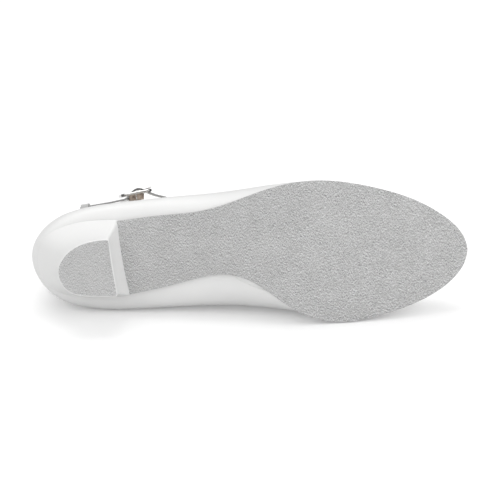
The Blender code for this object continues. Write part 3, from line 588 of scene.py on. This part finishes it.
# Strap. A narrow band of white leather round the ankle, sewn inside the inner quarter and drawn through
# the buckle on the outer side. Its cut edges are left grey, and painted near-black shade where they pass
# over the buckle's bar; its tail is rounded, and punched for the prong.
APEX = (58.0, 0.0, 330.0)
STRAP_WIDTH, STRAP_THICKNESS = 10.0, 1.1
SLOT_HALF, HOLE_CONTROL, HOLE_TURN = 1.3, 1.3, 55.0
BUCKLE = Vector((66.0, -31.2, 103.0))
ALONG = Vector((0.9761, -0.1305, 0.1740))
OUTWARD = Vector((-0.1540, -0.9796, 0.1292))
ACROSS = Vector((0.1535, -0.1529, -0.9762))


def at_buckle(along, outward, across=0.0):
    """Place on the standing shoe, measured from the middle of the buckle."""
    return BUCKLE + ALONG * along + OUTWARD * outward + ACROSS * across


def laid(points):
    """Places on the standing shoe, in millimetres, laid down in the world."""
    turn = np.array(LAID)
    return np.asarray(points) * MM @ turn[:3, :3].T + turn[:3, 3]


def world_at(along, outward, across=0.0):
    """Place measured from the middle of the buckle, laid down in the world."""
    return LAID @ (at_buckle(along, outward, across) * MM)


def band_axes(path):
    """Directions along a band, across its width and out of its outer face, at each station."""
    along = np.gradient(path, axis=0)
    along /= np.linalg.norm(along, axis=1, keepdims=True)
    rise = np.array(APEX) - path
    across = rise - along * np.sum(rise * along, axis=1, keepdims=True)
    across /= np.linalg.norm(across, axis=1, keepdims=True)
    outward = np.cross(along, across)
    middle = len(path) // 2
    from_ankle = (path - np.array(APEX))[middle, :2]
    return along, across, outward * np.sign(outward[middle, :2] @ from_ankle)


def band_sheet(path, widths, slot, holes=()):
    """Sheet of three strips along a path, its middle strip open at the slot and round the holes."""
    along, across, outward = band_axes(path)
    lip = np.minimum(SLOT_HALF, widths / 4)
    sides = (widths / 2, lip, -lip, -widths / 2)
    table = np.stack([path + across * side[:, None] for side in sides], axis=1)
    opened = set(np.flatnonzero(slot[1:] & slot[:-1]))
    for i in holes:
        opened.update((i - 1, i))
        for step in (-1, 0, 1):
            turn = math.radians(HOLE_TURN * step)
            for column, side in ((1, 1), (2, -1)):
                rim = along[i] * math.sin(turn) + across[i] * math.cos(turn) * side
                table[i + step, column] = path[i] + rim * HOLE_CONTROL
    bm = bmesh.new()
    bmesh.ops.create_grid(bm, x_segments=3, y_segments=len(path) - 1, size=0.5)
    for vertex, point in zip(bm.verts, laid(table.reshape(-1, 3))):
        vertex.co = point
    bm.faces.ensure_lookup_table()
    bmesh.ops.delete(bm, geom=[bm.faces[i * 3 + 1] for i in sorted(opened)], context="FACES")
    bm.normal_update()
    bm.faces.ensure_lookup_table()
    if bm.faces[0].normal.dot(LAID.to_3x3() @ Vector(outward[0])) < 0:
        bmesh.ops.reverse_faces(bm, faces=bm.faces)
    return bm


def add_band(name, bm, materials, replaced, thickness):
    """Leather band: a sheet given its thickness; materials come in sets of outer face, edge and back."""
    piece = add_piece(name, bm, materials, replaced)
    wall = piece.modifiers.new("wall", "SOLIDIFY")
    wall.thickness = thickness * MM
    wall.offset = 0.0
    wall.use_even_offset = True
    wall.material_offset_rim = 1
    wall.material_offset = 2
    edge = piece.modifiers.new("edge", "BEVEL")
    edge.width = 0.2 * MM
    edge.segments = 2
    edge.limit_method = "ANGLE"
    edge.angle_limit = math.radians(50)
    smooth = piece.modifiers.new("smooth", "SUBSURF")
    smooth.levels = 2
    smooth.render_levels = 2
    return piece


STRAP_STOPS = (
    (16.9, 13.5, 84.5), (24.4, 15.5, 87.5), (34.0, 17.4, 95.6), (45.0, 19.2, 99.2), (58.0, 19.8, 102.2),
    (71.0, 19.8, 105.0), (83.0, 18.0, 108.0), (91.5, 12.4, 110.5), (96.0, 1.0, 112.5), (92.0, -17.0, 110.3),
    (84.0, -26.8, 105.4), (78.6, -28.5, 104.6), (74.3, -30.1, 104.1), (69.8, -32.3, 103.8),
    (65.7, -33.4, 103.3), (62.0, -31.3, 102.4), (58.1, -27.7, 101.2), (54.2, -26.9, 100.5),
    (49.8, -26.2, 99.7), (43.0, -25.2, 100.0), (33.2, -23.8, 100.4), (29.5, -23.3, 100.6),
)
STRAP_STEP = 1.0
HOLE_FIRST, HOLE_SPACING, HOLE_COUNT = 13.0, 6.5, 4
SLOT_FROM, SLOT_TO = -1.2, 6.2
TAIL_LEAST = 0.3
PAINTED_SHADE_REACH = 6.8
NEAR_BUCKLE = 3
strap_path = smooth_path(STRAP_STOPS, STRAP_STEP)
from_buckle = (strap_path - np.array(BUCKLE)) @ np.array(ALONG)
buckle_gap = np.linalg.norm(strap_path - np.array(BUCKLE), axis=1)
strap_slot = (buckle_gap < STRAP_WIDTH) & (from_buckle > SLOT_FROM) & (from_buckle < SLOT_TO)
to_tail = np.linalg.norm(strap_path - strap_path[-1], axis=1)
tail_share = np.clip(to_tail / (STRAP_WIDTH / 2), 0.0, 1.0)
strap_widths = STRAP_WIDTH * np.maximum(np.sqrt(1 - (1 - tail_share) ** 2), TAIL_LEAST)
at_bar = int(np.argmin(buckle_gap))
strap_holes = [at_bar + round((HOLE_FIRST + HOLE_SPACING * number) / STRAP_STEP)
               for number in range(HOLE_COUNT)]
strap_bm = band_sheet(strap_path, strap_widths, strap_slot, strap_holes)
# Painted shade: edge faces within reach of the buckle's bar take a near-black edge colour.
over_bar = world_at(0.0, 1.0)
for face in strap_bm.faces:
    in_painted_shade = (face.calc_center_median() - over_bar).length < PAINTED_SHADE_REACH * MM
    face.material_index = NEAR_BUCKLE if in_painted_shade else 0
strap_leather = leather("strap_leather", WHITE_LIGHT, WHITE_DARK, 900.0, 0.12, 0.1)
strap_edge = leather("strap_edge", (0.34, 0.34, 0.34), (0.26, 0.26, 0.26), 1500.0, 0.5, 0.0)
# Near-black edge colour: painted shade where the strap passes over the buckle's bar.
painted_shade_edge = leather("painted_shade_edge", (0.13, 0.13, 0.13), (0.07, 0.07, 0.07), 1500.0, 0.5, 0.0)
strap_back = leather("strap_back", (0.70, 0.69, 0.67), (0.62, 0.61, 0.59), 1200.0, 0.4, 0.0)
strap = add_band("ankle_strap", strap_bm,
                 (strap_leather, strap_edge, strap_back, strap_leather, painted_shade_edge, strap_back),
                 "strap", STRAP_THICKNESS)

# Strap stitching. A row of white thread just inside each edge of the strap, sewn by machine through its
# face and back, from the sewn-in end to where the tail rounds off.
STITCH_SIDE, STITCH_LIFT, WHOLE_SHARE = 3.7, 0.8, 0.98
strap_thread_bm = bmesh.new()
strap_across, strap_outward = band_axes(strap_path)[1:]
whole_width = strap_widths > WHOLE_SHARE * STRAP_WIDTH
for side in (-STITCH_SIDE, STITCH_SIDE):
    strap_row = (strap_path + strap_across * side + strap_outward * STITCH_LIFT)[whole_width]
    stitch_row(strap_thread_bm, laid(strap_row), surface_of(strap), pitch=2.6, length=1.9, thread=0.2)
add_piece("strap_stitches", strap_thread_bm, (white_thread,))

# Buckle tab. A short strip of white leather sewn inside the outer quarter and folded round the buckle's
# middle bar, with a slot for the prong. Its edges are finished white, but left raw and brown at the fold.
TAB_WIDTH, TAB_THICKNESS = 9.0, 0.9
BAR_DROP = -1.2
FOLD, FOLD_REACH = 1.95, 8.0
TAB_STEP, TAB_SLOT_FROM = 0.7, -3.6
tab_stops = [(14.5, -11.5, 86.3), (19.3, -13.2, 89.4), (23.5, -13.8, 97.6), (27.0, -17.6, 99.8),
             (30.5, -21.0, 100.4), (36.0, -22.6, 100.4), (46.0, -24.2, 100.1)]
tab_stops += [at_buckle(-12.5, -4.1), at_buckle(-6.0, -3.4)]
for angle in np.radians((-90, -45, 0, 45, 90)):
    tab_stops.append(at_buckle(FOLD * math.cos(angle), BAR_DROP + FOLD * math.sin(angle)))
tab_stops += [at_buckle(-2.4, 0.0), at_buckle(-4.9, -1.75)]
tab_path = smooth_path(tab_stops, TAB_STEP)
tab_slot = (tab_path - np.array(BUCKLE)) @ np.array(ALONG) > TAB_SLOT_FROM
tab_bm = band_sheet(tab_path, np.full(len(tab_path), TAB_WIDTH), tab_slot)
fold_place = world_at(0.0, BAR_DROP)
for face in tab_bm.faces:
    at_fold = (face.calc_center_median() - fold_place).length < FOLD_REACH * MM
    face.material_index = NEAR_BUCKLE if at_fold else 0
tab_leather = leather("tab_leather", WHITE_LIGHT, WHITE_DARK, 900.0, 0.15, 0.1)
brown_edge = leather("brown_edge", (0.50, 0.40, 0.33), (0.10, 0.07, 0.05), 1400.0, 0.6, 0.0, mottle=400.0)
add_band("folded_tab", tab_bm, (tab_leather, tab_leather, strap_back, tab_leather, brown_edge, strap_back),
         "buckle_tab", TAB_THICKNESS)

# Tab packing. Blocks of brown leather glued into the tab's fold and under its turned-back end, on both
# sides of the prong's slot, with a thin brown facing over their cut ends at each edge of the tab.
PACKING_INSIDE, PACKING_FACE = (1.4, 4.6), (5.05, 5.4)
fold_block = [(-2.05, -4.4), (1.9, -4.7), (2.4, -3.4), (2.4, -1.2), (1.9, 0.0), (1.0, 0.8), (-2.05, 0.7)]
end_block = [(-7.1, -3.9), (-2.75, -4.4), (-2.6, 0.2), (-4.9, -1.2), (-6.7, -2.2)]
fold_face = [(-2.1, -4.4), (2.0, -4.9), (2.9, -1.25), (-1.7, -0.9)]
end_face = [(-7.3, -3.8), (-2.85, -4.45), (-2.35, -0.95), (-6.7, -0.9)]
packing_bm = bmesh.new()
for block, ends in ((fold_block, PACKING_INSIDE), (end_block, PACKING_INSIDE),
                    (fold_face, PACKING_FACE), (end_face, PACKING_FACE)):
    for side in (-1, 1):
        corners = [packing_bm.verts.new(world_at(*place, side * ends[0])) for place in block]
        face = packing_bm.faces.new(corners)
        grown = bmesh.ops.extrude_face_region(packing_bm, geom=[face])["geom"]
        far_end = [item for item in grown if isinstance(item, bmesh.types.BMVert)]
        depth = LAID.to_3x3() @ ACROSS * side * (ends[1] - ends[0]) * MM
        bmesh.ops.translate(packing_bm, vec=depth, verts=far_end)
bmesh.ops.recalc_face_normals(packing_bm, faces=packing_bm.faces)
soften(packing_bm, sharp_edges(packing_bm, 60), size=0.15)
add_piece("tab_packing", packing_bm, (brown_edge,))

# Catch stitches. Two short white threads at each edge of the tab, one above the other between the two
# facings, sewn through the fold by hand to hold it closed on the bar.
CATCH_AT, CATCH_SPANS, CATCH_THREAD = -2.4, ((-4.35, -2.5), (-2.3, -0.4)), 0.28
catch_bm = bmesh.new()
for side in (-1, 1):
    for span in CATCH_SPANS:
        low, high = (world_at(CATCH_AT, place, side * PACKING_FACE[1]) for place in span)
        half = (high - low) / 2
        face_out = LAID.to_3x3() @ ACROSS * side
        add_stitch(catch_bm, low + half, half.normalized().cross(face_out), face_out, half, CATCH_THREAD)
add_piece("tab_catch_stitches", catch_bm, (white_thread,))

# Keeper. A narrow strip of the same white leather, glued into a loop that holds the strap's tail against
# the tab; its darker grey is painted shade.
# Painted shade: the white leather's colour taken down to a darker grey.
keeper_leather = leather("keeper_leather", (0.56, 0.56, 0.555), (0.50, 0.50, 0.495), 900.0, 0.15, 0.1)
keeper_bm = solid_copy("strap_keeper")
keeper_middle = sum((vertex.co for vertex in keeper_bm.verts), Vector()) / len(keeper_bm.verts)
KEEPER_SHARE, KEEPER_SHIFT, TAIL_STATIONS = 0.82, 0.6, 6
tail_start, tail_end = laid(strap_path[[-TAIL_STATIONS, -1]])
tail_way = Vector(tail_end - tail_start).normalized()
for vertex in keeper_bm.verts:
    run = (vertex.co - keeper_middle).dot(tail_way)
    vertex.co += tail_way * (run * (KEEPER_SHARE - 1) + KEEPER_SHIFT * MM)
soften(keeper_bm, sharp_edges(keeper_bm, 50), size=0.2)
add_piece("keeper_loop", keeper_bm, (keeper_leather,), "strap_keeper", levels=1)

# Buckle frame. A small rectangle of bright nickelled wire, bent round at the corners, with a middle bar
# brazed across it. A dark reflection of the room is painted into the plating at the bends.


def nickel_material(name):
    """Polished plating with faint rubbing marks, near-black where the mesh's attribute asks for a painted
    dark reflection.
    """
    material, nodes, links, shader = new_material(name)
    place = nodes.new("ShaderNodeTexCoord")
    rubs = nodes.new("ShaderNodeTexNoise")
    rubs.inputs["Scale"].default_value = 900.0
    rubs.inputs["Detail"].default_value = 4.0
    rough = map_range(nodes, 0.35, 0.7, 0.08, 0.22)
    bump = bump_node(nodes, 0.04, 0.0001)
    painted_reflection = nodes.new("ShaderNodeAttribute")
    painted_reflection.attribute_name = "painted_reflection"
    colour = colour_mix(nodes, (0.82, 0.81, 0.80), (0.02, 0.02, 0.02))
    links.new(place.outputs["Object"], rubs.inputs["Vector"])
    links.new(rubs.outputs["Fac"], rough.inputs["Value"])
    links.new(rough.outputs["Result"], shader.inputs["Roughness"])
    links.new(rubs.outputs["Fac"], bump.inputs["Height"])
    links.new(bump.outputs["Normal"], shader.inputs["Normal"])
    links.new(painted_reflection.outputs["Fac"], colour.inputs["Factor"])
    links.new(colour.outputs["Result"], shader.inputs["Base Color"])
    shader.inputs["Metallic"].default_value = 1.0
    return material


def add_wire(bm, points, radius, cyclic=False, tip=1.0):
    """Add a round wire through points on the standing shoe, its last point thinned to the tip's share."""
    curve = bpy.data.curves.new("wire", "CURVE")
    curve.dimensions = "3D"
    curve.bevel_depth = radius * MM
    curve.bevel_resolution = 4
    curve.use_fill_caps = True
    line = curve.splines.new("POLY")
    line.points.add(len(points) - 1)
    for place, point in zip(line.points, laid([tuple(point) for point in points])):
        place.co = (*point, 1.0)
    line.points[-1].radius = tip
    line.use_cyclic_u = cyclic
    holder = bpy.data.objects.new("wire", curve)
    bpy.context.scene.collection.objects.link(holder)
    drawn = holder.evaluated_get(bpy.context.evaluated_depsgraph_get())
    mesh = bpy.data.meshes.new_from_object(drawn)
    bm.from_mesh(mesh)
    bpy.data.objects.remove(holder)
    bpy.data.curves.remove(curve)
    bpy.data.meshes.remove(mesh)
    bmesh.ops.remove_doubles(bm, verts=bm.verts, dist=WELD)


FRAME_FRONT, FRAME_BACK, FRAME_SIDE, FRAME_CORNER = 7.3, -11.0, 6.65, 2.4
FRAME_WIRE, BAR_WIRE = 0.95, 0.9
FRONT_PAINTED_REFLECTION, BACK_PAINTED_REFLECTION, PAINTED_REFLECTION_REACH = 1.0, 0.8, 1.5
CORNER_POINTS = 10
frame_bm = bmesh.new()
frame_loop, painted_reflection_at = [], []
for along, across, start in ((FRAME_FRONT, FRAME_SIDE, 0), (FRAME_BACK, FRAME_SIDE, 90),
                             (FRAME_BACK, -FRAME_SIDE, 180), (FRAME_FRONT, -FRAME_SIDE, 270)):
    middle_along = along - math.copysign(FRAME_CORNER, along)
    middle_across = across - math.copysign(FRAME_CORNER, across)
    for share in np.linspace(0, 1, CORNER_POINTS):
        angle = math.radians(start + 90 * share)
        frame_loop.append(at_buckle(middle_along + FRAME_CORNER * math.cos(angle), 0.0,
                                    middle_across + FRAME_CORNER * math.sin(angle)))
        painted_reflection_at.append((FRONT_PAINTED_REFLECTION if along > 0 else BACK_PAINTED_REFLECTION) * math.sin(math.pi * share))
add_wire(frame_bm, frame_loop, FRAME_WIRE, cyclic=True)
bar_half = ((0.0, BAR_DROP), (4.1, BAR_DROP), (4.8, -0.95), (5.5, -0.45), (6.3, 0.0))
bar_line = [(-side, drop) for side, drop in reversed(bar_half[1:])] + list(bar_half)
add_wire(frame_bm, [at_buckle(0.0, drop, side) for side, drop in bar_line], BAR_WIRE)
# Painted reflection: near-black plating round the corner bends, strongest at the front, for the dark room
# seen in the wire.
painted_reflection = frame_bm.verts.layers.float.new("painted_reflection")
loop_places = laid([tuple(point) for point in frame_loop])
for vertex in frame_bm.verts:
    gaps = np.linalg.norm(loop_places - np.array(vertex.co), axis=1)
    on_loop = gaps.min() < PAINTED_REFLECTION_REACH * FRAME_WIRE * MM
    vertex[painted_reflection] = painted_reflection_at[int(np.argmin(gaps))] if on_loop else 0.0
nickel = nickel_material("nickel")
add_piece("buckle_wire", frame_bm, (nickel,), "buckle_frame")

# Prong. A pin of the same nickelled wire, its ring bent closed round the middle bar. It passes through the
# strap, and its blunt tip lies over the frame's front.
PRONG_WIRE, PRONG_TIP, TIP_SHARE = 0.65, (8.7, 2.0), 0.6
PRONG_RING, RING_PLAY, RING_POINTS = 285.0, 0.3, 28
ring = BAR_WIRE + RING_PLAY + PRONG_WIRE
rise = PRONG_TIP[1] - BAR_DROP
leave = math.atan2(rise, PRONG_TIP[0]) + math.acos(ring / math.hypot(PRONG_TIP[0], rise))
prong_line = []
for angle in np.linspace(leave + math.radians(PRONG_RING), leave, RING_POINTS):
    prong_line.append(at_buckle(ring * math.cos(angle), BAR_DROP + ring * math.sin(angle)))
tip = at_buckle(*PRONG_TIP)
prong_line += [prong_line[-1].lerp(tip, share) for share in (0.25, 0.5, 0.75, 0.92, 1.0)]
prong_bm = bmesh.new()
add_wire(prong_bm, prong_line, PRONG_WIRE, tip=TIP_SHARE)
prong_nickel = nickel_material("prong_nickel")
add_piece("prong_wire", prong_bm, (prong_nickel,), "buckle_prong")

bpy.context.view_layer.update()
